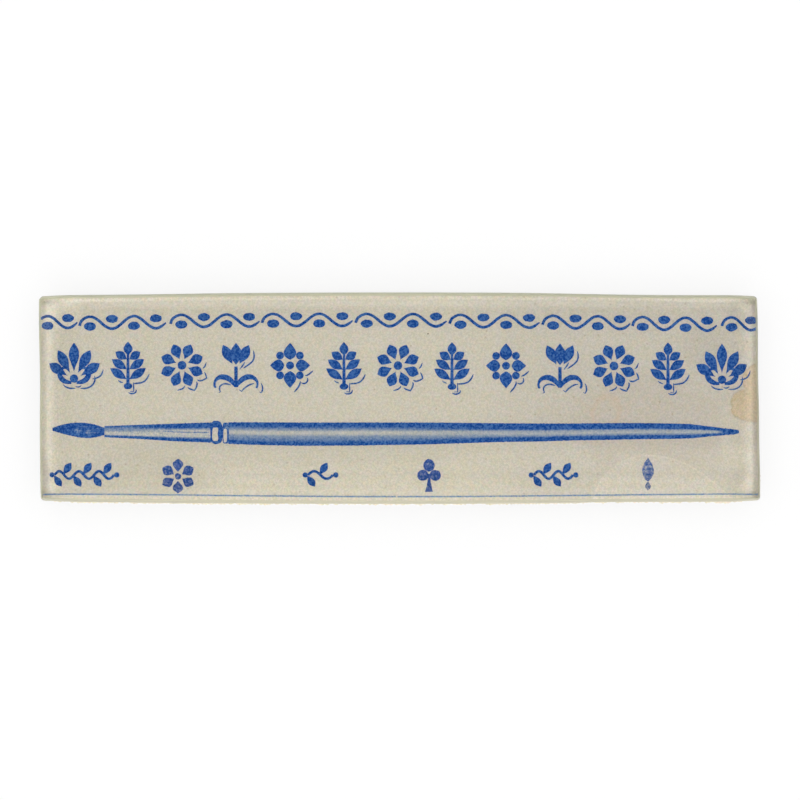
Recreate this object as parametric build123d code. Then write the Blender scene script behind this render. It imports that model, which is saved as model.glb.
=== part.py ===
from build123d import *
import os
from math import cos, radians, sqrt, tan

# A long, shallow tray of slumped clear glass with a printed paper glued face up under it.
# Sizes are in millimetres. X runs along the tray, Y across it and Z up. The origin is on the
# table, under the middle of the tray. "Back" is +Y, the upper long side of the print.

# Outline of the glass, measured at the lower edge of its rim. It was cut by hand: the ends lean
# and the long sides bow out.
tray_length = 305.0
tray_width = 89.6
back_bow = 1.35
front_bow = 1.2
left_end_lean = 0.75
right_end_lean = 1.4
corner_radius = 2.0
nipped_corner = 2.2

# Glass sheet and its slumped form: a flat floor, a gentle bend and a sloping lip
glass_thickness = 4.0
lip_width = 8.0
lip_angle = 18.0
bend_radius = 20.0
floor_corner_radius = 3.0
ground_arris = 0.5

# Papers glued under the glass, and the film of glue over each
glue_film = 0.15
print_thickness = 0.22
print_inset = 0.35
backing_thickness = 0.4
backing_inset = 1.4

# Clear bumper near each corner: a low dome with a flat tip
bumper_diameter = 9.5
bumper_height = 2.6
bumper_dome_radius = 8.0
bumper_tip_diameter = 3.2
bumper_from_end = 27.0
bumper_from_side = 17.0

# Levels on the flat floor, from the table up
backing_top = bumper_height + backing_thickness
print_top = backing_top + glue_film + print_thickness
glass_underside = print_top + glue_film
floor_level = glass_underside + glass_thickness

# The slope of the lip, and the lines where the floor's plane meets the lip's plane
lip_slope = radians(lip_angle)
fold_length = tray_length - 2 * lip_width
fold_width = tray_width - 2 * lip_width
fold_corner_radius = floor_corner_radius + bend_radius * tan(lip_slope / 2)

# Where the lip's underside reaches the outline, and how far the cutting forms reach past the rim
lip_run = lip_width - glass_thickness * tan(lip_slope / 2)
rim_level = glass_underside + lip_run * tan(lip_slope)
reach = glass_thickness + 2 * lip_width * tan(lip_slope)


def corner_edge(block, lies_right, lies_back):
    """The standing edge of a block at one of its corners."""
    standing = block.edges().filter_by(lambda edge: abs((edge % 0.5).Z) > cos(radians(45)))
    return standing.sort_by(lambda edge: lies_right * edge.center().X + lies_back * edge.center().Y)[-1]


def rim_form(inset):
    """A block as tall as the whole tray, drawn in by inset, whose sides are the cut rim."""
    draw_in = inset - reach * tan(lip_slope)
    end = tray_length / 2 - draw_in
    back = tray_width / 2 - draw_in
    back_left = (-end, back - back_bow)
    back_right = (end - right_end_lean, back - back_bow)
    front_left = (-end + left_end_lean, front_bow - back)
    front_right = (end, front_bow - back)
    outline = make_face(
        [
            ThreePointArc(front_left, (0, -back), front_right),
            Line(front_right, back_right),
            ThreePointArc(back_right, (0, back), back_left),
            Line(back_left, front_left),
        ]
    )
    block = extrude(Pos(0, 0, rim_level - reach) * outline, 2 * reach, taper=lip_angle)
    for lies_right, lies_back in ((-1, -1), (1, -1), (1, 1)):
        block = fillet(corner_edge(block, lies_right, lies_back), corner_radius)
    return chamfer(corner_edge(block, -1, 1), nipped_corner / sqrt(2))


def slump_form(depth):
    """The space over the sheet, grown by depth square to the sheet: floor, bend and lip."""
    grow = depth * tan(lip_slope / 2)
    spread = 2 * reach / tan(lip_slope)
    floor = RectangleRounded(
        fold_length + 2 * grow,
        fold_width + 2 * grow,
        fold_corner_radius + grow,
    )
    mouth = RectangleRounded(
        fold_length + 2 * (grow + spread),
        fold_width + 2 * (grow + spread),
        fold_corner_radius + grow + spread,
    )
    level = floor_level - depth
    form = loft([Pos(0, 0, level) * floor, Pos(0, 0, level + 2 * reach) * mouth], ruled=True)
    return fillet(form.edges().group_by(Axis.Z)[0], bend_radius + depth)


def slumped_sheet(depth, thickness, inset):
    """A sheet of even thickness that follows the slumped form, cut off square at the rim."""
    sheet = slump_form(depth + thickness) - slump_form(depth)
    return (sheet & rim_form(inset)).solid()


def is_rim(face):
    """Whether a face of a sheet stands on its rim, and not on its top or underside."""
    return abs(face.normal_at().Z) < cos(radians(45))


def glass_tray():
    """The clear glass sheet, with a ground arris along both edges of its rim."""
    sheet = slumped_sheet(0, glass_thickness, 0)
    broad_edges = sheet.faces().filter_by(lambda face: not is_rim(face)).edges()
    rim_edges = sheet.faces().filter_by(is_rim).edges()
    arrises = ShapeList(edge for edge in rim_edges if edge in broad_edges)
    return chamfer(arrises, ground_arris)


def printed_paper():
    """The print, glued face up under the glass and trimmed just inside its rim."""
    depth = floor_level - print_top
    return slumped_sheet(depth, print_thickness, print_inset)


def backing_paper():
    """The plain paper that seals the back of the print, trimmed short of the rim."""
    depth = floor_level - backing_top
    return slumped_sheet(depth, backing_thickness, backing_inset)


def bumper():
    """A clear bumper that stands on the origin: a dome with a flat tip down and its glued face up."""
    tip_radius = bumper_tip_diameter / 2
    dome_centre = sqrt(bumper_dome_radius**2 - tip_radius**2)
    disc = Cylinder(bumper_diameter / 2, bumper_height, align=(Align.CENTER, Align.CENTER, Align.MIN))
    return (disc & Pos(0, 0, dome_centre) * Sphere(bumper_dome_radius)).solid()


def bumpers():
    """The four bumpers, each named by its corner."""
    across = tray_width / 2 - bumper_from_side
    along = tray_length / 2 - bumper_from_end
    places = {}
    for side, y in (("front", -across), ("back", across)):
        for end, x in (("left", -along), ("right", along)):
            places[f"bumper_{side}_{end}"] = Pos(x, y, 0) * bumper()
    return places


pieces = {
    "glass_tray": glass_tray(),
    "printed_paper": printed_paper(),
    "backing_paper": backing_paper(),
    **bumpers(),
}
os.makedirs("parts", exist_ok=True)
for name, piece in pieces.items():
    export_step(piece, f"parts/{name}.step")
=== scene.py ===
import bmesh
import bpy
from math import cos, hypot, pi, radians, sin, sqrt, tan
from mathutils import Matrix, Vector, noise


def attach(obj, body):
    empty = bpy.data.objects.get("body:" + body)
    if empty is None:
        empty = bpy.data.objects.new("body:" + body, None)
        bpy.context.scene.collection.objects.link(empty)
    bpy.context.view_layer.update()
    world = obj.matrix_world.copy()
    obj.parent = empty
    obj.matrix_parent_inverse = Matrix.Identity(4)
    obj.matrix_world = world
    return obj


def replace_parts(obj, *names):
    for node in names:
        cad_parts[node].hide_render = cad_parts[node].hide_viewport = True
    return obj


# A long tray of slumped clear glass over a printed paper, seen from straight above.
# Lengths are in millimetres, in the CAD part's frame, and become metres as each mesh is made.
# Places and sizes on the print are in pixels of the photograph, with y down.

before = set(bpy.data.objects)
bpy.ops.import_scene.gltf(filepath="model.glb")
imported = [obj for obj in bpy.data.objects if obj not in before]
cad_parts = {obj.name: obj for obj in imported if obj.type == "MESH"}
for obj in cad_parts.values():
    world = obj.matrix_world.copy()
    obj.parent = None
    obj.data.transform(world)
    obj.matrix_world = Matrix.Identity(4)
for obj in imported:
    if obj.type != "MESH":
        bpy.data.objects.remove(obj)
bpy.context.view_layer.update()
metre = 0.001
metre_scale = Matrix.Scale(metre, 4)
quarters = ((-1, -1), (1, -1), (1, 1), (-1, 1))

# Outline of the glass at the lower edge of its rim
tray_length = 305.0
tray_width = 89.6
back_bow = 1.35
front_bow = 1.2
left_end_lean = 0.75
right_end_lean = 1.4
corner_radius = 2.0
nipped_corner = 2.2

# The edges were cut by hand. The back is trimmed a little, and every side is drawn in by shallow
# hollows, given as (middle, half length, depth) along it.
back_trim = 0.1
back_hollows = ((101.0, 58.0, 0.5), (-112.0, 48.0, 0.2))
front_hollows = ((92.0, 62.0, 0.38),)
left_hollows = ((8.0, 24.0, 0.28),)
right_hollows = ((9.0, 20.0, 0.2), (-18.0, 14.0, 0.15))

# The glass sheet and its slumped form
glass_thickness = 4.0
lip_width = 8.0
lip_slope = radians(18)
bend_radius = 20.0
floor_corner_radius = 3.0
arris_radius = 0.5
glass_ior = 1.52

# The papers under the glass: depths are square to the sheet, from the glass's upper face
floor_level = 7.52
print_depth = 4.15
print_thickness = 0.22
print_inset = 0.35
backing_depth = 4.52
backing_thickness = 0.4
backing_inset = 1.4
ink_depth = 4.09
ink_thickness = 0.04
ink_margin = 0.05

# Shapes of ink that may overlap lie a step higher than the last, through so many levels
film_step = 0.002
film_levels = 12

# Lines worked out from these
fold_length = tray_length - 2 * lip_width
fold_width = tray_width - 2 * lip_width
fold_corner_radius = floor_corner_radius + bend_radius * tan(lip_slope / 2)
lip_run = lip_width - glass_thickness * tan(lip_slope / 2)
rim_level = floor_level - glass_thickness + lip_run * tan(lip_slope)

# How finely the sheets are divided. Rays cross the fold line along the front, along the back, along
# each end and round each corner.
glass_rays = (72, 72, 20, 56)
print_rays = (620, 90, 30, 40)
backing_rays = (150, 150, 40, 16)
bend_steps = 14
flat_ring = 1.0
arris_steps = 5
arris_blend = 0.12
rim_halvings = 22

# The torn front edge of the print: waves as (size, height), how far it reaches past the inset, and
# how closely that reach keeps to the front. The other edges were trimmed and stray less.
tear_waves = ((9.0, 0.3), (2.4, 0.6), (0.9, 0.55))
front_reach = 0.5
front_focus = 8
trimmed_share = 0.12

# The slight wander of the backing's edge
backing_wander = 0.25
wander_size = 14.0

# The camera, and where it stands over the tray
photo_size = 800
camera_x = 0.17
camera_y = -0.83
camera_height = 750.0
camera_lens = 79.29
camera_sensor = 36.0
pixels_per_slope = photo_size * camera_lens / camera_sensor
glass_lift = glass_thickness * (1 - 1 / glass_ior)


def spaced(start, end, steps):
    """Even values from a start to an end, both included."""
    return [start + (end - start) * step / steps for step in range(steps + 1)]


def stray(x, y, size, seed):
    """Smooth noise of a size over the plan, between about -1 and 1."""
    return noise.noise(Vector((x / size, y / size, seed)))


# The form of the sheet

def fold_distance(x, y):
    """How far a place lies outside the line where the floor's plane meets the lip's."""
    beyond_x = abs(x) - (fold_length / 2 - fold_corner_radius)
    beyond_y = abs(y) - (fold_width / 2 - fold_corner_radius)
    outside = hypot(max(beyond_x, 0), max(beyond_y, 0))
    return outside + min(max(beyond_x, beyond_y), 0) - fold_corner_radius


def bend_reach(depth):
    """How far the bend of a layer reaches on each side of its own fold line: inwards, outwards."""
    inwards = (bend_radius + depth) * tan(lip_slope / 2)
    return inwards, inwards * cos(lip_slope)


def layer_height(depth, outside):
    """Height of a layer at a distance outside its own fold line."""
    level = floor_level - depth
    radius = bend_radius + depth
    inwards, outwards = bend_reach(depth)
    if outside <= -inwards:
        return level
    if outside < outwards:
        return level + radius - sqrt(radius**2 - (outside + inwards) ** 2)
    return level + outside * tan(lip_slope)


def sheet_height(x, y, depth):
    """Height of a layer over any place in plan."""
    return layer_height(depth, fold_distance(x, y) - depth * tan(lip_slope / 2))


def hollow(along, hollows):
    """How far a side is drawn in at a place along it."""
    drawn_in = 0.0
    for middle, half, depth in hollows:
        drawn_in += depth * (1 + cos(pi * min(1, abs(along - middle) / half))) / 2
    return drawn_in


def edge_distance(x, y):
    """How far a place lies inside the outline of the rim's lower edge."""
    towards_back = y / (tray_width - back_bow - front_bow) + 0.5
    bow_share = (2 * x / tray_length) ** 2
    left = x + tray_length / 2 - left_end_lean * (1 - towards_back) - hollow(y, left_hollows)
    right = tray_length / 2 - right_end_lean * towards_back - x - hollow(y, right_hollows)
    back = tray_width / 2 - back_trim - back_bow * bow_share - y - hollow(x, back_hollows)
    front = tray_width / 2 - front_bow * bow_share + y - hollow(x, front_hollows)
    nipped = (left + back - nipped_corner / sqrt(2)) / sqrt(2)
    end, side = min(left, right), min(back, front)
    if min(left, back) < corner_radius and nipped < min(end, side):
        return nipped
    if end < corner_radius and side < corner_radius and (left > corner_radius or back > corner_radius):
        return corner_radius - hypot(corner_radius - end, corner_radius - side)
    return min(end, side)


def rim_lean(z):
    """How far the rim has drawn in at a height, because it is cut square to the sloping lip."""
    return (z - rim_level) * tan(lip_slope)


def fold_rays(along_front, along_back, along_ends, round_corners):
    """Starts and outward directions of rays that cross the fold line, anticlockwise from the front left."""
    half_x = fold_length / 2 - fold_corner_radius
    half_y = fold_width / 2 - fold_corner_radius
    corners = [(x * half_x, y * half_y) for x, y in quarters]
    steps = [along_front, along_ends, along_back, along_ends]
    rays = []
    for side in range(4):
        start, end = Vector(corners[side]), Vector(corners[(side + 1) % 4])
        facing = (side - 1) * pi / 2
        for step in range(steps[side]):
            rays.append((start.lerp(end, step / steps[side]), Vector((cos(facing), sin(facing)))))
        for step in range(round_corners):
            turned = facing + pi / 2 * step / round_corners
            rays.append((end, Vector((cos(turned), sin(turned)))))
    return rays


def ray_point(ray, depth, outside):
    """The place on a layer where a ray is at a distance outside that layer's fold line."""
    start, direction = ray
    plan = start + direction * (fold_corner_radius + depth * tan(lip_slope / 2) + outside)
    return Vector((plan.x, plan.y, layer_height(depth, outside)))


def rim_point(ray, depth, inset):
    """The place on a layer where a ray is at an inset from the rim."""
    near, far = 0.0, 2 * lip_width
    for halving in range(rim_halvings):
        middle = (near + far) / 2
        place = ray_point(ray, depth, middle)
        if edge_distance(place.x, place.y) > inset + rim_lean(place.z):
            near = middle
        else:
            far = middle
    return ray_point(ray, depth, near)


# Meshes

def add_object(name, data):
    made = bpy.data.objects.new(name, data)
    bpy.context.scene.collection.objects.link(made)
    return made


def add_piece(name, mesh, slot_name, *materials):
    """Makes a piece of the object from a mesh in millimetres."""
    mesh.transform(metre_scale)
    for material in materials:
        mesh.materials.append(material)
    piece = add_object(name, mesh)
    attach(piece, "root")
    return piece


def sheet_piece(name, rays, top, bottom, rim, slot_name, materials, rim_faces=(0, 0)):
    """A closed sheet between two depths. The rim is a list of functions from a ray to its place."""

    def face_rings(depth):
        inwards, outwards = bend_reach(depth)
        reaches = [-inwards - flat_ring] + spaced(-inwards, outwards, bend_steps)
        return [[ray_point(ray, depth, outside) for ray in rays] for outside in reaches]

    upper, lower = face_rings(top), face_rings(bottom)[::-1]
    rings = upper + [[place(ray) for ray in rays] for place in rim] + lower
    count = len(rays)
    points = [tuple(point) for ring in rings for point in ring]
    faces = [tuple(range(count)), tuple((len(rings) - 1) * count + i for i in reversed(range(count)))]
    first_rim, last_rim = len(upper) + rim_faces[0], len(upper) + len(rim) - 1 - rim_faces[1]
    on_rim = [False, False]
    for ring in range(len(rings) - 1):
        for i in range(count):
            j = (i + 1) % count
            faces.append((ring * count + i, (ring + 1) * count + i, (ring + 1) * count + j, ring * count + j))
            on_rim.append(first_rim <= ring < last_rim)
    mesh = bpy.data.meshes.new(name)
    mesh.from_pydata(points, [], faces)
    for face, rim_face in zip(mesh.polygons, on_rim):
        face.use_smooth = True
        face.material_index = int(rim_face and len(materials) > 1)
    return add_piece(name, mesh, slot_name, *materials)


def glass_rim():
    """The rim's profile from the upper face round to the lower one, with a softened arris at each."""
    profile = [(arris_radius + arris_blend, 0.0)]
    for turned in spaced(0, pi / 2, arris_steps):
        profile.append((arris_radius * (1 - sin(turned)), arris_radius * (1 - cos(turned))))
    profile.append((0.0, arris_radius + arris_blend))
    profile += [(inset, glass_thickness - depth) for inset, depth in reversed(profile)]
    return [
        lambda ray, inset=inset, depth=depth: rim_point(ray, depth, inset / cos(lip_slope))
        for inset, depth in profile
    ]


def glass_piece():
    """The clear glass: polished faces and a finely ground rim."""
    rays = fold_rays(*glass_rays)
    materials = (clear_glass(), ground_glass())
    piece = sheet_piece(
        "glass", rays, 0.0, glass_thickness, glass_rim(), "clear_glass", materials, rim_faces=(1, 1)
    )
    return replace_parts(piece, "glass_tray")


def torn(x, y):
    """How far the hand-torn front edge of the print strays outwards, and the trimmed edges less so."""
    strays = 0.0
    for size, height in tear_waves:
        strays += height * stray(x, y, size, seed=size)
    return strays if y < -tray_width / 3 else trimmed_share * strays


def paper_piece(name, rays, depth, thickness, edge, slot_name, material):
    """A paper under the glass. Edge is a function from a ray and a depth to the place where it ends."""
    bottom = depth + thickness
    rim = [lambda ray: edge(ray, depth), lambda ray: edge(ray, bottom)]
    return sheet_piece(name, fold_rays(*rays), depth, bottom, rim, slot_name, (material,))


def print_piece():
    """The printed paper, whose front edge reaches the rim's lower edge unevenly."""

    def edge(ray, depth):
        place = rim_point(ray, depth, print_inset)
        reach = front_reach * max(0, -ray[1].y) ** front_focus + torn(place.x, place.y)
        return rim_point(ray, depth, print_inset - reach)

    sizes = (print_rays, print_depth, print_thickness)
    piece = paper_piece("print_sheet", *sizes, edge, "printed_paper", aged_paper_painted_light())
    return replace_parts(piece, "printed_paper")


def backing_piece():
    """The dark paper that seals the back of the print."""

    def edge(ray, depth):
        place = rim_point(ray, depth, backing_inset)
        wander = backing_wander * stray(place.x, place.y, wander_size, seed=3)
        return rim_point(ray, depth, backing_inset + wander)

    sizes = (backing_rays, backing_depth, backing_thickness)
    piece = paper_piece("backing_sheet", *sizes, edge, "backing_paper", backing_stock())
    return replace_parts(piece, "backing_paper")


# Ink on the print. Near the edges it is divided by lines a step apart, so that it can follow the
# bend. The first lines are so far from the middle column, and from the top of the photograph.
end_cut = 328.0
back_cut = 324.0
cut_step = 2.5
cut_count = 12
merge_distance = 0.001

# How far the ink spreads on rough paper, in pixels, and the size of that raggedness. Its noise
# vectors need a seed of their own, or they would differ from run to run.
edge_spread = 0.22
line_spread = 0.15
wave_spread = 0.16
bold_spread = 0.5
stamp_spread = 0.45
spread_size = 2.1
spread_seed = 1
noise.seed_set(spread_seed)


def under_pixel(px, py, depth):
    """The place on a layer of the sheet that the camera sees at a pixel of the photograph."""
    x = y = 0.0
    for again in range(3):
        z = sheet_height(x, y, depth)
        pixel = (camera_height - z - glass_lift) / pixels_per_slope
        x = camera_x + (px - photo_size / 2) * pixel
        y = camera_y - (py - photo_size / 2) * pixel
    overhang = print_inset + ink_margin + rim_lean(z) - edge_distance(x, y)
    if overhang > 0:
        x -= overhang if x > 0 else -overhang
        z = sheet_height(x, y, depth)
    return Vector((x, y, z))


def stroke_sides(path, widths):
    """The two sides of a stroke of varying width along a path."""
    one_side, other_side = [], []
    for i, (x, y) in enumerate(path):
        before, after = path[max(i - 1, 0)], path[min(i + 1, len(path) - 1)]
        run = Vector((after[0] - before[0], after[1] - before[1])).normalized()
        half = widths[i] / 2
        one_side.append((x - run.y * half, y + run.x * half))
        other_side.append((x + run.y * half, y - run.x * half))
    return one_side, other_side


class Ink:
    """Flat shapes that are printed together. They are drawn by pixel and then laid on the paper."""

    def __init__(self):
        self.mesh = bmesh.new()
        self.across = self.mesh.verts.layers.float.new("across")
        self.lift = self.mesh.verts.layers.float.new("lift")
        self.shapes = 0

    def face(self, places, across=None):
        """One face, with the share across the shape at each corner."""
        corners = [self.mesh.verts.new((x, -y, 0)) for x, y in places]
        for corner, share in zip(corners, across or [0] * len(corners)):
            corner[self.across] = share
            corner[self.lift] = self.shapes % film_levels * film_step
        self.mesh.faces.new(corners)

    def shape(self, outline):
        """A filled shape. Shapes may overlap, so each lies a hair higher or lower than the last."""
        self.shapes += 1
        self.face(outline)

    def strip(self, one_side, other_side, closed=False):
        """Faces between two lines with as many points."""
        self.shapes += 1
        count = len(one_side)
        for i in range(count if closed else count - 1):
            j = (i + 1) % count
            self.face((one_side[i], one_side[j], other_side[j], other_side[i]), (0, 0, 1, 1))

    def line(self, path, widths):
        """A line of varying width along a path."""
        self.strip(*stroke_sides(path, widths))

    def cut(self, at, across):
        """Divides the shapes along a line in plan, so that they can follow the bend there."""
        everything = self.mesh.verts[:] + self.mesh.edges[:] + self.mesh.faces[:]
        bmesh.ops.bisect_plane(self.mesh, geom=everything, plane_co=at, plane_no=across)

    def lay(self, name, material):
        """Lays the shapes on the paper as thin closed films of ink."""
        bmesh.ops.remove_doubles(self.mesh, verts=self.mesh.verts, dist=merge_distance)
        for step in range(cut_count):
            for end in (-1, 1):
                self.cut((photo_size / 2 + end * (end_cut + cut_step * step), 0, 0), (1, 0, 0))
            self.cut((0, cut_step * step - back_cut, 0), (0, 1, 0))
        films = bmesh.ops.extrude_face_region(self.mesh, geom=self.mesh.faces[:], use_keep_orig=True)
        for item in films["geom"]:
            if isinstance(item, bmesh.types.BMVert):
                item.co.z = 1
        bmesh.ops.recalc_face_normals(self.mesh, faces=self.mesh.faces)
        for vertex in self.mesh.verts:
            x, y, on_top = vertex.co
            depth = ink_depth - vertex[self.lift] if on_top else ink_depth + ink_thickness
            vertex.co = under_pixel(x, -y, depth)
        mesh = bpy.data.meshes.new(name)
        self.mesh.to_mesh(mesh)
        self.mesh.free()
        return add_piece(name, mesh, "printed_paper", material)


def ragged(places, amount=edge_spread):
    """Places along the edge of a shape, moved a little as ink spreads on rough paper."""
    moved = []
    for x, y in places:
        shift = noise.noise_vector(Vector((x / spread_size, y / spread_size, 0.5)))
        moved.append((x + amount * shift.x, y + amount * shift.y))
    return moved


def ellipse(x, y, half_x, half_y, steps=30):
    """The outline of an ellipse."""
    turns = spaced(0, 2 * pi, steps)[:-1]
    return [(x + half_x * cos(turn), y + half_y * sin(turn)) for turn in turns]


def disc(radius, x=0.0, y=0.0, steps=20):
    """The outline of a round dot."""
    return ellipse(x, y, radius, radius, steps)


# Border of waves and dots along the back, set in lengths. The lens draws its even spacing together
# at the ends, and each length was set a little higher or lower than the last.
border_level = 319.9
border_tilt = 1.0
border_bow = 3.6
border_half = 360.0
wave_height = 6.25
wave_line = 2.85
wave_steps = 50
wave_start = -26
wave_end = 173
tail_steps = 22
hook_steps = 9
hook_drop = 2.6
dots_per_length = 4
dot_rise = 3.7
dot_half_width = 6.1
dot_half_height = 4.15
half_wave = 23.1
lens_pinch = 7.8e-7
pinch_middle = 340
first_dots = (4.6, 90.0, 181.3, 273.1, 366.7, 460.5, 553.2, 642.7, 731.6)
length_drops = (-0.3, 1.1, 0.2, -0.1, 0.1, 0.7, 0.9, 1.0, -0.4)
print_left = 40.0
print_right = 759.5


def border_row(x):
    """The middle of the border at a pixel column."""
    share = (x - photo_size / 2) / border_half
    return border_level + border_tilt * share + border_bow * share**2


def print_border():
    """Waves, with a dot over each trough and under each crest."""
    waves, dots = Ink(), Ink()
    for first_dot, drop in zip(first_dots, length_drops):
        half = half_wave * (1 - lens_pinch * (first_dot - pinch_middle) ** 2)
        path, widths = [], []
        for step in range(wave_start, wave_end + 1):
            turns = step / wave_steps
            x = first_dot + half * turns
            if print_left < x < print_right:
                hook = max(0, 1 - (step - wave_start) / hook_steps) ** 2
                level = border_row(x) + drop
                path.append((x + hook, level - wave_height * cos(pi * turns) + hook_drop * hook))
                tail = min(1.0, 0.5 + (wave_end - step) / tail_steps)
                widths.append(wave_line * tail)
        waves.line(ragged(path, wave_spread), widths)
        for number in range(dots_per_length):
            x = first_dot + half * number
            if print_left < x < print_right:
                rise = dot_rise if number % 2 == 0 else -dot_rise
                outline = ellipse(x, border_row(x) + drop + rise, dot_half_width, dot_half_height)
                dots.shape(ragged(outline, bold_spread))
    ink = blue_ink()
    waves.lay("ink_border_waves", ink)
    dots.lay("ink_border_dots", ink)


# Rule along the front
rule_level = 496.4
rule_swell = 1.3
rule_width = 1.45
rule_uneven = 0.22
rule_uneven_size = 5.0
rule_steps = 300
rule_break = (395.8, 397.4)


def print_rule():
    """A thin rule with a small break in the middle."""
    ink = Ink()
    for start, end in ((print_left, rule_break[0]), (rule_break[1], print_right)):
        path, widths = [], []
        for x in spaced(start, end, rule_steps):
            swell = rule_swell * cos(pi * (x - photo_size / 2) / border_half)
            path.append((x, rule_level + swell))
            widths.append(rule_width * (1 + rule_uneven * stray(x, 0, rule_uneven_size, seed=7)))
        ink.line(ragged(path), widths)
    ink.lay("ink_rule", thin_line_ink("rule_ink", 0.58, rule_dark, rule_pale))


# The printed brush: its parts' outlines as (column, top row, bottom row), its collars as the middle
# and half sizes, and the seam of its ferrule as places
hair_outline = (
    (51.6, 428.5, 430.2), (53, 427.6, 431.0), (56, 426.4, 432.0), (62, 424.6, 433.7), (70, 423.1, 435.6),
    (79, 422.5, 437.5), (88, 423.1, 438.2), (96, 424.7, 437.4), (101, 426.6, 436.0), (104.4, 428.1, 434.6),
)
ferrule_outline = ((104.4, 426.1, 437.2), (140, 424.8, 439.0), (175, 423.6, 441.3), (211.6, 422.4, 442.6))
handle_outline = (
    (228.4, 422.2, 443.9), (260, 422.3, 445.0), (300, 422.5, 445.8), (360, 422.5, 445.5), (430, 422.5, 444.3),
    (500, 423.2, 442.0), (540, 423.5, 441.5), (572, 423.5, 440.4), (610, 423.1, 439.8), (640, 423.0, 439.2),
    (668, 423.4, 439.0), (690, 424.0, 438.5), (712, 426.7, 436.2), (730, 428.9, 434.7), (736.5, 429.4, 434.2),
    (739.2, 431.0, 432.4),
)
collar_steps = 48
collar = (216.4, 432.4, 6.2, 11.6)
collar_squareness = 3
collar_gap = (215.5, 434.2, 3.2, 6.8)
collar_dent = 0.35
dent_focus = 6
second_collar = (225.7, 433.1, 3.3, 10.6)
second_collar_gap = (225.2, 435.5, 1.7, 6.8)
seam_line = ((163, 431.2), (174, 431.8), (186, 432.3), (198, 432.5), (209, 432.6))
seam_width = 0.9
brush_rows = 10
brush_easing = (-2, -1, 0, 1, 2)
brush_wander = 0.6
brush_wander_size = 1.4


def between(rows, x):
    """Top and bottom rows of an outline at a column, eased between its given columns."""
    for (x0, *low), (x1, *high) in zip(rows, rows[1:]):
        if x <= x1:
            break
    share = min(max((x - x0) / (x1 - x0), 0), 1)
    return [a + (b - a) * share for a, b in zip(low, high)]


def figure_part(name, outline, columns, material):
    """A part of the brush, drawn in columns with the share across it for its shading."""
    ink = Ink()
    start, end = outline[0][0], outline[-1][0]
    lines = []
    for x in spaced(start, end, columns):
        samples = [between(outline, x + shift) for shift in brush_easing if start <= x + shift <= end]
        top, bottom = [sum(edge) / len(edge) for edge in zip(*samples)]
        top += brush_wander * stray(x, 0, brush_wander_size, seed=1)
        bottom += brush_wander * stray(x, 0, brush_wander_size, seed=2)
        lines.append([(x, y) for y in spaced(top, bottom, brush_rows)])
    for left, right in zip(lines, lines[1:]):
        for row in range(brush_rows):
            places = (left[row], left[row + 1], right[row + 1], right[row])
            upper, lower = row / brush_rows, (row + 1) / brush_rows
            ink.face(places, (upper, lower, lower, upper))
    ink.lay(name, material)


def barrel(x, y, half_x, half_y, dent=0.0, squareness=4):
    """The outline of a rounded upright bar, with a dent in its right side."""
    places = []
    for turn in spaced(0, 2 * pi, collar_steps)[:-1]:
        stretch = (abs(cos(turn)) ** squareness + abs(sin(turn)) ** squareness) ** (-1 / squareness)
        stretch *= 1 - dent * max(0, cos(turn)) ** dent_focus
        places.append((x + half_x * stretch * cos(turn), y + half_y * stretch * sin(turn)))
    return places


def print_brush():
    """A round brush that points left: hair, ferrule, two crimped collars and a long handle."""
    figure_part("ink_brush_hair", hair_outline, columns=70, material=hair_ink())
    figure_part("ink_brush_ferrule", ferrule_outline, columns=90, material=ferrule_ink())
    figure_part("ink_brush_handle", handle_outline, columns=340, material=handle_ink())
    first, second = Ink(), Ink()
    outer = ragged(barrel(*collar, squareness=collar_squareness), bold_spread)
    first.strip(outer, ragged(barrel(*collar_gap, dent=collar_dent)), closed=True)
    second.strip(ragged(barrel(*second_collar)), ragged(barrel(*second_collar_gap)), closed=True)
    first.lay("ink_brush_collar", blue_ink())
    second.lay("ink_brush_second_collar", thin_line_ink("second_collar_ink", held=1.0))
    seam = Ink()
    seam.line(ragged(seam_line), [seam_width] * len(seam_line))
    seam.lay("ink_ferrule_seam", thin_line_ink("seam_ink", held=0.7))


# Printer's ornaments. Each is a list of closed outlines round (0, 0), with y up, in pixels.
petal_steps = 18
scroll_steps = 22


def petal(length, width, turn, start=0.0, fullness=0.55, base=(0.0, 0.0)):
    """A pointed petal that starts at a distance from its base. Fullness says where it is widest."""
    bend = 1 / (1 - (fullness - 0.5) * 1.6)
    shares = spaced(0, 1, petal_steps)
    side = [(start + length * share, width / 2 * sin(pi * share**bend)) for share in shares]
    outline = side + [(along, -half) for along, half in reversed(side[1:-1])]
    return [
        (base[0] + along * cos(turn) - half * sin(turn), base[1] + along * sin(turn) + half * cos(turn))
        for along, half in outline
    ]


def swash(path, widths):
    """A curved stroke as a closed outline."""
    one_side, other_side = stroke_sides(path, widths)
    return one_side + other_side[::-1]


def scroll(start, turn, length, curl, width):
    """A stroke that curls up more and more towards its end."""
    x, y = start
    path, widths = [(x, y)], [width * 0.5]
    for step in range(scroll_steps):
        share = step / scroll_steps
        turn += curl * (0.25 + 1.5 * share) / scroll_steps
        x += cos(turn) * length / scroll_steps
        y += sin(turn) * length / scroll_steps
        path.append((x, y))
        widths.append(width * (0.5 + 0.5 * sin(pi * min(1, share * 1.3))) * (1 - 0.35 * share))
    return swash(path, widths)


def wheel(button, count, **sizes):
    """So many petals round a button."""
    return [button] + [petal(turn=2 * pi * (number + 0.5) / count, **sizes) for number in range(count)]


def rosette():
    """Eight petals round a button."""
    return wheel(disc(4.4, steps=24), 8, length=16.3, width=10.6, start=6.2, fullness=0.66)


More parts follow.
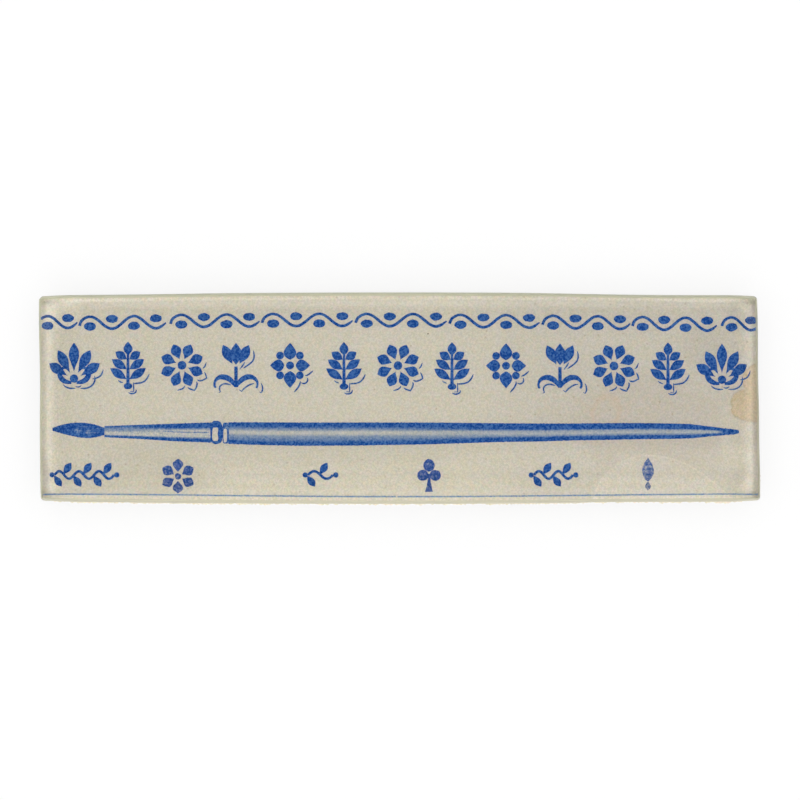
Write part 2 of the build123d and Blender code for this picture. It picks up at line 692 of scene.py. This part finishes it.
def palmette():
    """A fan of five leaves over a button, with a scroll on each side."""
    shapes = []
    for number in range(-2, 3):
        length, turn = 30 - 3.4 * abs(number), pi / 2 - 0.5 * number
        shapes.append(petal(length, width=10.4, turn=turn, start=7.5, fullness=0.68, base=(0, -15)))
    for side in (-1, 1):
        turn = pi / 2 - side * pi / 2
        shapes.append(scroll((side * 2.5, -17.5), turn, length=31, curl=side * 4.4, width=6.2))
    shapes.append(disc(4.2, y=-13.5))
    return shapes


def sprig():
    """An upright stem with three pairs of leaves, a bud on top and a bulb at its foot."""
    shapes = [swash([(0.0, -22 + 3 * n) for n in range(12)], [3.6 - 0.1 * n for n in range(12)])]
    for row, reach in ((-15, 20), (-5, 18), (5, 13.5)):
        for side in (-1, 1):
            turn = pi / 2 - side * 0.98
            shapes.append(petal(length=reach, width=8.6, turn=turn, start=1.5, base=(0, row)))
    shapes.append(petal(length=13.5, width=9, turn=pi / 2, base=(0, 10), fullness=0.45))
    shapes.append(ellipse(0, -21, half_x=4.4, half_y=3.2, steps=20))
    return shapes


def lozenge():
    """Four pointed leaves round a button, with a dot between each two."""
    shapes = [disc(4.0)]
    for number in range(4):
        length, width = ((17, 12.5), (14.5, 12))[number % 2]
        shapes.append(petal(length, width, pi / 2 * (number + 1), start=5.6, fullness=0.3))
        turn = pi / 2 * number + pi / 4
        shapes.append(disc(3.9, 14 * cos(turn), 14 * sin(turn), steps=22))
    return shapes


def tulip():
    """A tulip between two curled leaves."""
    shapes = [petal(length=22, width=11.5, turn=pi / 2, base=(0, 0.5), fullness=0.5)]
    for side in (-1, 1):
        outwards, base = pi / 2 - side * 0.46, (side * 3.2, 0.5)
        shapes.append(petal(length=21.5, width=10.0, turn=outwards, start=0.8, base=base, fullness=0.6))
        leaf_turn = pi / 2 - side * 0.5
        shapes.append(scroll((side * 0.5, -21), leaf_turn, length=33, curl=-side * 3.3, width=6.4))
    shapes.append(swash([(0.0, -22 + 2.6 * n) for n in range(9)], [3.4] * 9))
    return shapes


# The row of ornaments across the print
title_ornaments = (
    palmette, sprig, rosette, tulip, lozenge, sprig, rosette,
    sprig, lozenge, tulip, rosette, sprig, palmette,
)
title_left = 74.0
title_right = 722.0
title_level = 365.6
title_tilt = 0.6
drop_right = 3.9
drop_down = 4.3
drop_line = 1.6
drop_gap = 1.2
shortest_drop = 4


def placed(outline, x, y):
    """An ornament's outline, moved from (0, 0) with y up to its place on the print."""
    return [(x + a, y - b) for a, b in outline]


def segments(outline):
    """The straight pieces of a closed outline, from each corner to the next."""
    return zip(outline, outline[1:] + outline[:1])


def inside(x, y, outline):
    """Whether a place lies inside a closed outline."""
    crossings = 0
    for (x0, y0), (x1, y1) in segments(outline):
        if (y0 > y) != (y1 > y) and x < x0 + (y - y0) * (x1 - x0) / (y1 - y0):
            crossings += 1
    return crossings % 2 == 1


def is_free(x, y, shapes):
    """Whether a place lies clear of all the shapes."""
    for outline in shapes:
        if inside(x, y, outline) or any(hypot(x - a, y - b) < drop_gap for a, b in outline):
            return False
    return True


def is_anticlockwise(outline):
    """Whether a closed outline runs anticlockwise."""
    return sum(x0 * y1 - x1 * y0 for (x0, y0), (x1, y1) in segments(outline)) > 0


def drop_lines(shapes):
    """The thin lines that stand off each shape to its right and below, where the paper there is free."""
    lines = []
    for outline in shapes:
        if not is_anticlockwise(outline):
            outline = outline[::-1]
        dropped = []
        for (x0, y0), (x1, y1) in segments(outline):
            x, y = x0 + drop_right, y0 - drop_down
            faces_drop = (x1 - x0) + (y1 - y0) > 0
            dropped.append((x, y) if faces_drop and is_free(x, y, shapes) else None)
        first_gap = dropped.index(None)
        run = []
        for place in dropped[first_gap:] + dropped[: first_gap + 1]:
            if place:
                run.append(place)
                continue
            if len(run) > shortest_drop:
                lines.append(run)
            run = []
    return lines


def print_title():
    """The row of ornaments with their drop lines."""
    solid, thin = Ink(), Ink()
    pitch = (title_right - title_left) / (len(title_ornaments) - 1)
    for number, ornament in enumerate(title_ornaments):
        x = title_left + pitch * number
        y = title_level + title_tilt * (x - photo_size / 2) / border_half
        shapes = ornament()
        for outline in shapes:
            solid.shape(ragged(placed(outline, x, y)))
        for run in drop_lines(shapes):
            widths = [drop_line * min(1, 0.4 + min(i, len(run) - 1 - i) / 4) for i in range(len(run))]
            thin.line(ragged(placed(run, x, y), line_spread), widths)
    solid.lay("ink_title_ornaments", blue_ink())
    thin.lay("ink_title_drop_lines", thin_line_ink("drop_line_ink", held=1.15))


# Small garlands along the front, as (left, right) columns, and stamped marks, by their middles
garlands = ((49.0, 119.0), (303.0, 338.0), (529.0, 578.0))
garland_level = 475.0
garland_wave = 11.5
garland_swing = 3.8
garland_steps = 60
stem_width = 2.7
stamped_flower = (178.0, 476.5)
stamped_trefoil = (429.0, 476.0)
stamped_spear = (648.0, 474.5)


def garland(left, right):
    """A waving stem with a leaf in each hollow and a dot at each end."""
    middle, half = (left + right) / 2, (right - left) / 2 - 5
    waves = max(1, round(half / garland_wave))
    path = []
    for share in spaced(0, 1, garland_steps):
        path.append((middle - half + 2 * half * share, garland_swing * sin(2 * pi * waves * share)))
    shapes = [swash(path, [stem_width] * len(path))]
    for number in range(2 * waves):
        up = 1 if number % 2 else -1
        x = middle - half + half * (number - 0.1) / waves
        shapes.append(petal(length=14.5, width=7.4, turn=up * 0.98, start=0.3, base=(x, 0), fullness=0.6))
    for end in (-1, 1):
        shapes.append(disc(2.7, x=middle + end * (half + 2.8), steps=16))
    return shapes


def flower():
    """A stamped flower of six petals."""
    return wheel(disc(3.2), 6, length=13.6, width=10.5, start=4.4, fullness=0.62)


def trefoil():
    """A stamped leaf of three lobes on a stalk."""
    lobes = [ellipse(0, 10.6, half_x=5.7, half_y=6.3, steps=26)]
    lobes += [disc(5.6, x, y=0.6, steps=26) for x in (-6.2, 6.2)]
    stalk = swash([(0.0, 2.0 - 2.1 * n) for n in range(10)], [2.4 + 0.07 * n**2 for n in range(10)])
    return lobes + [stalk]


def spear():
    """A stamped spear-shaped leaf."""
    blade = petal(length=24.5, width=12.0, turn=pi / 2, base=(0, -7.5), fullness=0.42)
    return [blade, petal(length=10, width=5.6, turn=-pi / 2, base=(0, -7.0))]


def print_small_marks():
    """The garlands in the print's own blue, and the marks stamped in violet."""
    printed, stamped = Ink(), Ink()
    for left, right in garlands:
        for outline in garland(left, right):
            printed.shape(ragged(placed(outline, 0, garland_level)))
    stamps = ((stamped_flower, flower), (stamped_trefoil, trefoil), (stamped_spear, spear))
    for (x, y), stamp in stamps:
        for outline in stamp():
            stamped.shape(ragged(placed(outline, x, y), stamp_spread))
    printed.lay("ink_garlands", blue_ink())
    stamped.lay("ink_stamps", stamp_ink())


# Materials. Tones are linear. Sizes and places on the tray are in millimetres.

class Nodes:
    """The nodes of a material or of the world."""

    def __init__(self, tree):
        self.tree = tree

    def add(self, kind, feeds=None, **settings):
        """The outputs of a new node, with its settings and with values or links on its inputs."""
        node = self.tree.nodes.new("ShaderNode" + kind)
        for setting, value in settings.items():
            setattr(node, setting, value)
        for socket, value in (feeds or {}).items():
            self.feed(node.inputs[socket], value)
        return node.outputs

    def feed(self, socket, value):
        if isinstance(value, bpy.types.NodeSocket):
            self.tree.links.new(value, socket)
        else:
            socket.default_value = value

    def calc(self, operation, *values):
        return self.add("Math", dict(enumerate(values)), operation=operation)[0]

    def vector(self, operation, *values):
        return self.add("VectorMath", dict(enumerate(values)), operation=operation)

    def fade(self, value, start, end, low=0.0, high=1.0):
        """A smooth step from low to high as the value goes from start to end."""
        feeds = {"Value": value, "From Min": start, "From Max": end, "To Min": low, "To Max": high}
        return self.add("MapRange", feeds, interpolation_type="SMOOTHSTEP")["Result"]

    def choose(self, share, first, second):
        """A level that is the first at a share of 0 and the second at 1."""
        return self.add("Mix", {0: share, 2: first, 3: second}, data_type="FLOAT")[0]

    def mix(self, share, first, second, blend="MIX"):
        return self.add("Mix", {0: share, 6: first, 7: second}, data_type="RGBA", blend_type=blend)[2]


class Recipe(Nodes):
    """A material in the making."""

    def __init__(self, name, **constants):
        self.material = bpy.data.materials.new(name)
        self.material.use_nodes = True
        super().__init__(self.material.node_tree)
        self.surface = self.tree.nodes["Principled BSDF"]
        self.place = self.add("TexCoord")["Object"]
        for socket, value in constants.items():
            self.set(socket.replace("_", " "), value)

    def set(self, socket, value):
        self.feed(self.surface.inputs[socket], value)

    def tone(self, share, colour, factor):
        """The colour, multiplied by a factor as far as the share goes."""
        return self.mix(share, colour, factor, "MULTIPLY")

    def grain(self, size, detail=2.0, seed=0.0, stretch=(1, 1, 1)):
        """Cloudy noise of a size, stretched along the axes."""
        scaled = self.add("Mapping", {"Vector": self.place, "Scale": stretch})[0]
        feeds = {"Vector": scaled, "W": seed, "Scale": 1 / (size * metre), "Detail": detail}
        return self.add("TexNoise", feeds, noise_dimensions="4D")["Fac"]

    def along(self, axis, start, end, low=0.0, high=1.0):
        """A fade along x (axis 0) or y (axis 1), from a start to an end."""
        place = self.add("SeparateXYZ", {0: self.place})[axis]
        return self.fade(place, start * metre, end * metre, low, high)

    def near(self, x, y, half_x, half_y, uneven=0.0):
        """Distance from a place, as a share of the half sizes, with an uneven outline."""
        shifted = self.vector("SUBTRACT", self.place, (x * metre, y * metre, 0))[0]
        shape = (1 / (half_x * metre), 1 / (half_y * metre), 0)
        length = self.vector("LENGTH", self.vector("MULTIPLY", shifted, shape)[0])["Value"]
        if not uneven:
            return length
        strays = self.fade(self.grain(uneven_size, 3, seed=x), 0, 1, -uneven, uneven)
        return self.calc("ADD", length, strays)

    def leaning(self, x, y, half_long, half_short, turn):
        """Distance from a place as a share of the half sizes, along axes turned in plan."""
        feeds = {"Vector": self.place, "Location": (x * metre, y * metre, 0), "Rotation": (0, 0, turn)}
        feeds["Scale"] = (half_long * metre, half_short * metre, 1)
        return self.vector("LENGTH", self.add("Mapping", feeds, vector_type="TEXTURE")[0])["Value"]

    def ring(self, distance, outer, inner):
        """A ring. Outer and inner say where it ends and where it is full, on each side."""
        return self.calc("MULTIPLY", self.fade(distance, *outer), self.fade(distance, *inner))

    def inset(self):
        """How far a place lies inside the tray's outline, from the ends and from the sides."""
        scaled = self.vector("MULTIPLY", self.place, (1 / metre,) * 3)[0]
        x, y, z = self.add("SeparateXYZ", {0: scaled})
        off_middle = self.calc("ABSOLUTE", self.calc("MULTIPLY", x, 2 / tray_length))
        bow_share = self.calc("POWER", off_middle, 2.0)
        ends, sides = [], []
        for way, bow, lean in ((-1, front_bow, left_end_lean), (1, back_bow, right_end_lean)):
            across = self.calc("ADD", self.calc("MULTIPLY", y, way / tray_width), 0.5)
            leaned = self.calc("MULTIPLY", across, lean)
            bowed = self.calc("MULTIPLY", bow_share, bow)
            ends.append(self.calc("ADD", self.calc("MULTIPLY", x, way), leaned))
            sides.append(self.calc("ADD", self.calc("MULTIPLY", y, way), bowed))
        from_ends = self.calc("SUBTRACT", tray_length / 2, self.calc("MAXIMUM", *ends))
        return from_ends, self.calc("SUBTRACT", tray_width / 2, self.calc("MAXIMUM", *sides))

    def bump(self, height, distance, strength=1.0):
        feeds = {"Height": height, "Distance": distance * metre, "Strength": strength}
        self.set("Normal", self.add("Bump", feeds)[0])


def grey(level):
    return (level, level, level, 1)


# Glass, with the ground rim's own tone, a painted shade at its right end and a painted light along its front
glass_tone = (0.992, 0.998, 0.994, 1)
ground_tone = (0.56, 0.56, 0.385, 1)
ground_right_shade = (0.44, 0.43, 0.30, 1)
ground_front_light = (0.68, 0.64, 0.47, 1)

# Paper and what lies on it
uneven_size = 7
paper_tone = (0.620, 0.575, 0.476, 1)
paper_pink = (0.648, 0.570, 0.484, 1)
paper_green = (0.592, 0.580, 0.466, 1)
paper_cool = (1.0, 1.0, 1.05, 1)
paper_yellow = (1.0, 0.99, 0.93, 1)
specks_per_metre = 190.0
speck_colour = (0.30, 0.21, 0.11, 1)
stain_colour = (0.975, 0.844, 0.66, 1)
tide_colour = (0.83, 0.81, 0.83, 1)
ring_colour = (0.62, 0.42, 0.26, 1)
crease_colour = (0.35, 0.30, 0.22, 1)
fleck_colour = (0.09, 0.07, 0.05, 1)

# Painted light on the paper, lighter near the rim: how far inside the outline it starts and is full, and its
# shares there
rim_light_factor = grey(1.40)
rim_light_at_ends = (11.5, 4.0, 0.0, 0.5)
rim_light_at_sides = (13.5, 7.0, 0.0, 0.14)
rim_light_at_foot = (3.5, 1.9)

# Broad bands of painted light and shade on it: the axis they fade along, where they start and are full, and a
# factor
painted_light_bands = (
    (1, -18.0, -24.0, (1.07, 1.07, 1.06, 1)),
    (0, 20.0, 68.0, (0.94, 0.94, 0.96, 1)),
    (1, -32.0, -37.0, (1.115, 1.115, 1.11, 1)),
    (1, -37.0, -41.6, grey(0.91)),
    (0, 148.7, 150.2, (0.90, 0.89, 0.90, 1)),
    (0, -149.0, -150.5, (0.98, 0.975, 0.98, 1)),
)

# Patches, darker or lighter: place, half sizes, unevenness, where they start and are full as shares
# of the half sizes, and a factor. The second is painted light over the bend at the right end.
paper_patches = (
    (105.0, -10.0, 42.0, 23.0, 0.3, 1.2, 0.5, (0.945, 0.93, 0.94, 1)),
    # Painted light over the bend at the right end
    (141.0, -15.0, 8.0, 24.0, 0.2, 1.05, 0.35, (1.07, 1.07, 1.065, 1)),
    (-151.2, -32.0, 4.2, 13.0, 0.15, 1.0, 0.5, (0.87, 0.86, 0.88, 1)),
    (-46.0, -22.8, 108.0, 7.0, 0.2, 1.2, 0.5, grey(0.925)),
    (-112.0, -33.8, 38.0, 13.0, 0.2, 1.2, 0.5, grey(0.92)),
    (128.3, 22.0, 11.5, 11.0, 0.2, 1.2, 0.5, grey(0.925)),
    (-147.0, 38.0, 12.5, 9.5, 0.2, 1.2, 0.5, grey(1.14)),
)

# Marks, and a painted reflection: place, half sizes and unevenness or turn
# A painted reflection across the lower right, lighter inside and lighter still along its edge
reflection_area = (116.7, -63.3, 43.05, 30.8, radians(-53.3))
reflection_factor = (1.055, 1.055, 1.065, 1)
reflection_edge_factor = (1.10, 1.10, 1.11, 1)
stain_lobes = (
    (148.5, -3.1, 8.6, 7.7, 0.18),
    (151.5, 7.5, 6.5, 7.2, 0.18),
    (146.3, -5.4, 6.3, 3.6, 0.12),
)
ring_mark = (87.5, -6.0, 6.0, 6.6, 0.22)
crease_mark = (-64.0, -6.0, 0.28, 13.0, 0.25)
fleck_mark = (12.0, 27.2, 0.42, 0.42)

# The backing's felted grain, and where it is rubbed
felt_dark = (0.125, 0.135, 0.127, 1)
felt_pale = (0.205, 0.215, 0.202, 1)
felt_rubbed = (0.29, 0.295, 0.275, 1)
felt_stretch = (1, 0.35, 1)

# Inks, and how softly they mingle with the paper where they are thin
blue_dark = (0.001, 0.049, 0.262, 1)
blue_pale = (0.054, 0.151, 0.398, 1)
rule_dark = (0.020, 0.140, 0.480, 1)
rule_pale = (0.060, 0.220, 0.600, 1)
stamp_dark = (0.012, 0.060, 0.250, 1)
stamp_pale = (0.075, 0.122, 0.360, 1)
blend_gamma = 2.2
hair_stretch = (0.32, 1.5, 1)
hair_belly = (-132.3, -13.9, 8.5, 2.9)


def clear_glass():
    """The polished faces, with the slight waviness of slumped glass."""
    looks = {"Base_Color": glass_tone, "Roughness": 0.0, "Transmission_Weight": 1.0}
    recipe = Recipe("clear_glass", IOR=glass_ior, **looks)
    recipe.bump(recipe.grain(34, 1), distance=0.15)
    return recipe.material


def ground_glass():
    """The rim, finely ground by hand: it scatters light and looks grey green."""
    recipe = Recipe("ground_glass_rim", Transmission_Weight=0.55, IOR=glass_ior)
    recipe.set("Roughness", recipe.fade(recipe.grain(1.6, 4), 0.3, 0.7, 0.35, 0.5))
    # Painted shade darkens the rim at its right end, and painted light brightens it along the front
    ground = recipe.mix(recipe.along(0, 148.0, 151.0), ground_tone, ground_right_shade)
    ground = recipe.mix(recipe.along(1, -41.5, -43.0), ground, ground_front_light)
    recipe.set("Base Color", ground)
    recipe.bump(recipe.grain(0.35, 3), distance=0.03, strength=0.6)
    return recipe.material


def paper_colour(recipe):
    """Old machine-made paper: cloudy, faintly pink and green, with brown specks."""
    clouds = recipe.fade(recipe.grain(11, 3, seed=1.0), 0.3, 0.7, 0.45, 0.95)
    tint = recipe.fade(recipe.grain(1.7, 3, seed=5.0), 0.37, 0.63)
    colour = recipe.mix(clouds, paper_tone, recipe.mix(tint, paper_pink, paper_green))
    warmth = recipe.fade(recipe.grain(2.1, 3, seed=7.0), 0.36, 0.64)
    colour = recipe.tone(1.0, colour, recipe.mix(warmth, paper_cool, paper_yellow))
    fine = recipe.fade(recipe.grain(0.8, 3, seed=2.0), 0.34, 0.66, 0.90, 1.07)
    colour = recipe.tone(1.0, colour, recipe.add("CombineXYZ", {0: fine, 1: fine, 2: fine})[0])
    places = {"Vector": recipe.place, "Scale": specks_per_metre}
    cells = recipe.add("TexVoronoi", places, voronoi_dimensions="2D")
    lot = recipe.add("SeparateColor", {0: cells["Color"]})[0]
    speck = recipe.fade(cells["Distance"], 0.13, 0.03)
    speck = recipe.calc("MULTIPLY", speck, recipe.fade(lot, 0.78, 0.92))
    return recipe.mix(recipe.calc("MULTIPLY", speck, 0.32), colour, speck_colour)


def aged_paper_painted_light():
    """The print's own paper with its stains, crease and fleck, and painted light and shade: lighter near the
    rim, broad bands, a patch over the right bend and a painted reflection.
    """
    recipe = Recipe("aged_paper_painted_light", Roughness=0.85, Specular_IOR_Level=0.0)
    colour = paper_colour(recipe)
    # Painted light: the paper is lighter near the rim, at the ends and along the sides, most of all close to
    # the edge
    from_ends, from_sides = recipe.inset()
    rim_light = recipe.calc(
        "MAXIMUM", recipe.fade(from_ends, *rim_light_at_ends), recipe.fade(from_sides, *rim_light_at_sides)
    )
    rim_light = recipe.calc("MAXIMUM", rim_light, recipe.fade(from_sides, *rim_light_at_foot))
    colour = recipe.tone(rim_light, colour, rim_light_factor)
    # Broad bands of painted light and shade
    for axis, start, full, factor in painted_light_bands:
        colour = recipe.tone(recipe.along(axis, start, full), colour, factor)
    for x, y, half_x, half_y, uneven, start, full, factor in paper_patches:
        patch = recipe.near(x, y, half_x, half_y, uneven)
        colour = recipe.tone(recipe.fade(patch, start, full), colour, factor)
    # A painted reflection, lighter inside and along its edge
    reflection_mask = recipe.leaning(*reflection_area)
    colour = recipe.tone(recipe.fade(reflection_mask, 1.005, 0.985), colour, reflection_factor)
    reflection_edge = recipe.ring(reflection_mask, (1.013, 1.0), (0.985, 1.0))
    colour = recipe.tone(reflection_edge, colour, reflection_edge_factor)
    stain = recipe.near(*stain_lobes[0])
    for lobe in stain_lobes[1:]:
        stain = recipe.calc("MINIMUM", stain, recipe.near(*lobe))
    colour = recipe.tone(recipe.fade(stain, 1.0, 0.9, 0, 0.8), colour, stain_colour)
    tide = recipe.ring(stain, (1.04, 0.97), (0.78, 0.96))
    colour = recipe.tone(recipe.calc("MULTIPLY", tide, 0.5), colour, tide_colour)
    faint_ring = recipe.ring(recipe.near(*ring_mark), (1.25, 1.0), (0.6, 0.95))
    colour = recipe.mix(recipe.calc("MULTIPLY", faint_ring, 0.26), colour, ring_colour)
    crease = recipe.fade(recipe.near(*crease_mark), 1.0, 0.2, 0, 0.16)
    colour = recipe.mix(crease, colour, crease_colour)
    fleck = recipe.fade(recipe.near(*fleck_mark), 1.0, 0.6, 0, 0.8)
    recipe.set("Base Color", recipe.mix(fleck, colour, fleck_colour))
    recipe.bump(recipe.grain(0.4, 4, seed=3.0), distance=0.02, strength=0.3)
    return recipe.material


def backing_stock():
    """Dark matt paper with a felted grain, rubbed paler in places."""
    recipe = Recipe("backing_stock")
    felt = recipe.fade(recipe.grain(0.5, 5, seed=1.0, stretch=felt_stretch), 0.3, 0.7)
    colour = recipe.mix(felt, felt_dark, felt_pale)
    rubbed = recipe.fade(recipe.grain(18, 4, seed=2.0), 0.58, 0.75, 0, 0.5)
    recipe.set("Base Color", recipe.mix(rubbed, colour, felt_rubbed))
    recipe.set("Roughness", recipe.fade(rubbed, 0, 0.5, 0.92, 0.78))
    recipe.bump(recipe.grain(0.45, 5, seed=4.0, stretch=felt_stretch), distance=0.05, strength=0.6)
    return recipe.material


def clear_rubber():
    """The bumpers' clear, slightly cloudy polyurethane."""
    recipe = Recipe("clear_rubber", Base_Color=(0.93, 0.935, 0.92, 1), Transmission_Weight=0.92, IOR=1.49)
    recipe.set("Roughness", recipe.fade(recipe.grain(2.5, 3), 0.35, 0.7, 0.08, 0.22))
    return recipe.material


def ink_recipe(name, roughness=0.75):
    """Dull ink with no shine of its own."""
    return Recipe(name, Roughness=roughness, Specular_IOR_Level=0.0)


def inked(recipe, density, dark=blue_dark, pale=blue_pale, rough=0.3):
    """Ink at a density from 0 to 1 over the paper, broken up by the paper's tooth."""
    cloud = recipe.fade(recipe.grain(0.75, 3, seed=8.0), 0.37, 0.65)
    ink = recipe.mix(cloud, dark, pale)
    tooth = recipe.fade(recipe.grain(0.55, 2, seed=9.0), 0.3, 0.7, -rough, rough)
    covered = recipe.add("Clamp", {0: recipe.calc("ADD", density, tooth)})[0]
    soft_paper = recipe.add("Gamma", {0: paper_colour(recipe), 1: 1 / blend_gamma})[0]
    soft_ink = recipe.add("Gamma", {0: ink, 1: 1 / blend_gamma})[0]
    blend = {0: recipe.mix(covered, soft_paper, soft_ink), 1: blend_gamma}
    recipe.set("Base Color", recipe.add("Gamma", blend)[0])
    recipe.bump(recipe.grain(0.4, 4, seed=3.0), distance=0.015, strength=0.25)
    return recipe.material


def blue_ink():
    """The solid blue of the border, ornaments and garlands."""
    recipe = ink_recipe("blue_ink")
    return inked(recipe, recipe.fade(recipe.grain(0.9, 4, seed=6.0), 0.4, 0.8, 1.4, 1.0), rough=0.16)


def thin_line_ink(name, held, dark=blue_dark, pale=blue_pale):
    """The blue of thin lines, where less ink was held."""
    recipe = ink_recipe(name)
    density = recipe.fade(recipe.grain(2.2, 3, seed=4.0), 0.3, 0.75, held, 0.65 * held)
    return inked(recipe, density, dark, pale, rough=0.2)


def stamp_ink():
    """The violet of the rubber stamps, unevenly taken and thinner to the right."""
    recipe = ink_recipe("stamp_ink", roughness=0.8)
    density = recipe.fade(recipe.grain(1.4, 4, seed=3.0), 0.35, 0.75, 1.15, 0.7)
    thinner = recipe.along(0, 50.0, 80.0, 0.0, 0.36)
    return inked(recipe, recipe.calc("SUBTRACT", density, thinner), stamp_dark, stamp_pale)


def shade(recipe, stops):
    """A density by the share across a figure. Stops run from its top edge to its bottom one."""
    across = recipe.add("Attribute", attribute_name="across")["Fac"]
    colour = recipe.add("ValToRGB", {0: across})[0]
    elements = colour.node.color_ramp.elements
    for place, density in stops[1:-1]:
        elements.new(place).color = grey(density)
    for element, (place, density) in ((elements[0], stops[0]), (elements[-1], stops[-1])):
        element.color = grey(density)
    return colour


def hair_ink():
    """Dense strokes along the hair, thinner low in the middle."""
    recipe = ink_recipe("brush_hair_ink")
    strokes = recipe.fade(recipe.grain(0.9, 2, seed=2.0, stretch=hair_stretch), 0.38, 0.7, 0.0, 0.7)
    belly = recipe.fade(recipe.near(*hair_belly), 1.0, 0.3)
    density = recipe.calc("SUBTRACT", 1.12, recipe.calc("MULTIPLY", strokes, belly))
    return inked(recipe, density, rough=0.18)


def ferrule_ink():
    """Grey-blue along the top of the metal, then bright, with a thin dark line at its foot."""
    recipe = ink_recipe("brush_ferrule_ink")
    left = shade(recipe, (
        (0, 1.05), (0.1, 0.9), (0.2, 0.62), (0.42, 0.46), (0.54, 0.14), (0.76, 0.1), (0.84, 0.9), (1, 1.1),
    ))
    right = shade(recipe, (
        (0, 1.15), (0.22, 1.1), (0.3, 0.55), (0.4, 0.16), (0.72, 0.1), (0.79, 0.6), (0.86, 1.1), (1, 1.15),
    ))
    return inked(recipe, recipe.mix(recipe.along(0, -118.0, -92.0), left, right), rough=0.13)


def handle_ink():
    """A dark band along the top of the handle, a pale one under it, and a line along its foot."""
    recipe = ink_recipe("brush_handle_ink")
    left = shade(recipe, (
        (0, 0.92), (0.04, 1.1), (0.14, 1.06), (0.2, 0.88), (0.25, 0.68), (0.33, 0.4), (0.4, 0.14),
        (0.46, 0.08), (0.52, 0.16), (0.57, 0.34), (0.62, 0.5), (0.7, 0.57), (0.76, 0.67), (0.81, 0.8),
        (0.87, 0.97), (1, 1.0),
    ))
    right = shade(recipe, (
        (0, 1.15), (0.3, 1.1), (0.42, 0.34), (0.58, 0.2), (0.7, 0.5), (0.8, 1.05), (1, 1.15),
    ))
    bands = recipe.mix(recipe.along(0, -20.0, 60.0), left, right)
    solid_tip = recipe.mix(recipe.along(0, 134.0, 138.0), bands, grey(1.0))
    return inked(recipe, solid_tip, rough=0.07)


# The studio. The dome's own level gives way to the upper one between two heights of a direction, and
# that to the level overhead between two more. The dark part overhead is narrower along the tray.
overhead_level = 0.08
upper_level = 0.54
dome_level = 1.76
upper_from, upper_to = 0.67, 0.80
overhead_from, overhead_to = 0.86, 0.97
overhead_narrowing = -0.28
front_light = 1.2
front_from, front_to = -0.65, -0.9
floor_half = 3000.0
floor_shadow_share = 0.22


def studio_world():
    """A soft dome, dark straight overhead where the camera hangs, and brighter low and in front."""
    world = bpy.data.worlds.new("studio")
    world.use_nodes = True
    bpy.context.scene.world = world
    sky = Nodes(world.node_tree)
    along, back, up = sky.add("SeparateXYZ", {0: sky.add("TexCoord")["Generated"]})
    upper = sky.fade(up, upper_from, upper_to, dome_level, upper_level)
    height = sky.calc("MULTIPLY_ADD", sky.calc("MULTIPLY", along, along), overhead_narrowing, up)
    level = sky.fade(height, overhead_from, overhead_to, upper, overhead_level)
    level = sky.calc("ADD", level, sky.fade(back, front_from, front_to, 0.0, front_light))

    # Rays that don't light the tray see it at no more than 1, or it would haze the print
    path = sky.add("LightPath")
    lights = sky.calc("GREATER_THAN", path["Diffuse Depth"], 0.5)
    level = sky.choose(lights, sky.calc("MINIMUM", level, 1.0), level)
    background = sky.tree.nodes["Background"].inputs
    sky.feed(background["Color"], grey(1.0))
    sky.feed(background["Strength"], sky.choose(path["Is Camera Ray"], level, 1.0))


def pale_floor():
    """A white floor that keeps part of the tray's shadow. From below it is clear."""
    mesh = bpy.data.meshes.new("floor")
    corners = [(x * floor_half * metre, y * floor_half * metre, 0) for x, y in quarters]
    mesh.from_pydata(corners, [], [(0, 1, 2, 3)])
    add_object("floor", mesh)
    recipe = Recipe("floor", Base_Color=grey(0.97), Roughness=0.9, Specular_IOR_Level=0.0)
    glow = recipe.add("Emission", {"Color": grey(1.0), "Strength": 1.0})[0]
    path = recipe.add("LightPath")
    seen = recipe.calc("MAXIMUM", path["Is Camera Ray"], path["Is Transmission Ray"])
    seen = recipe.calc("MAXIMUM", seen, path["Is Glossy Ray"])
    seen = recipe.calc("MULTIPLY", seen, 1 - floor_shadow_share)
    shown = recipe.add("MixShader", {0: seen, 1: recipe.surface.outputs[0], 2: glow})[0]
    below = recipe.add("NewGeometry")["Backfacing"]
    clear = recipe.add("BsdfTransparent")[0]
    one_sided = recipe.add("MixShader", {0: below, 1: shown, 2: clear})[0]
    recipe.feed(recipe.tree.nodes["Material Output"].inputs["Surface"], one_sided)
    mesh.materials.append(recipe.material)


def camera_overhead():
    """The camera, straight over the tray, with the back of the tray at the top of the picture."""
    data = bpy.data.cameras.new("camera")
    data.lens = camera_lens
    data.sensor_width = camera_sensor
    camera = add_object("camera", data)
    camera.location = (camera_x * metre, camera_y * metre, camera_height * metre)
    bpy.context.scene.camera = camera


def dress_bumpers():
    """The CAD bumpers keep their shape and get their own material."""
    rubber = clear_rubber()
    for name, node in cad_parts.items():
        if name.startswith("bumper"):
            node.data.materials.clear()
            node.data.materials.append(rubber)


glass_piece()
print_piece()
backing_piece()
dress_bumpers()
print_border()
print_rule()
print_title()
print_brush()
print_small_marks()
studio_world()
pale_floor()
camera_overhead()
bpy.context.scene.view_settings.view_transform = "Standard"

# Off, because with it less light would reach the paper through the glass
bpy.context.scene.cycles.blur_glossy = 0.0
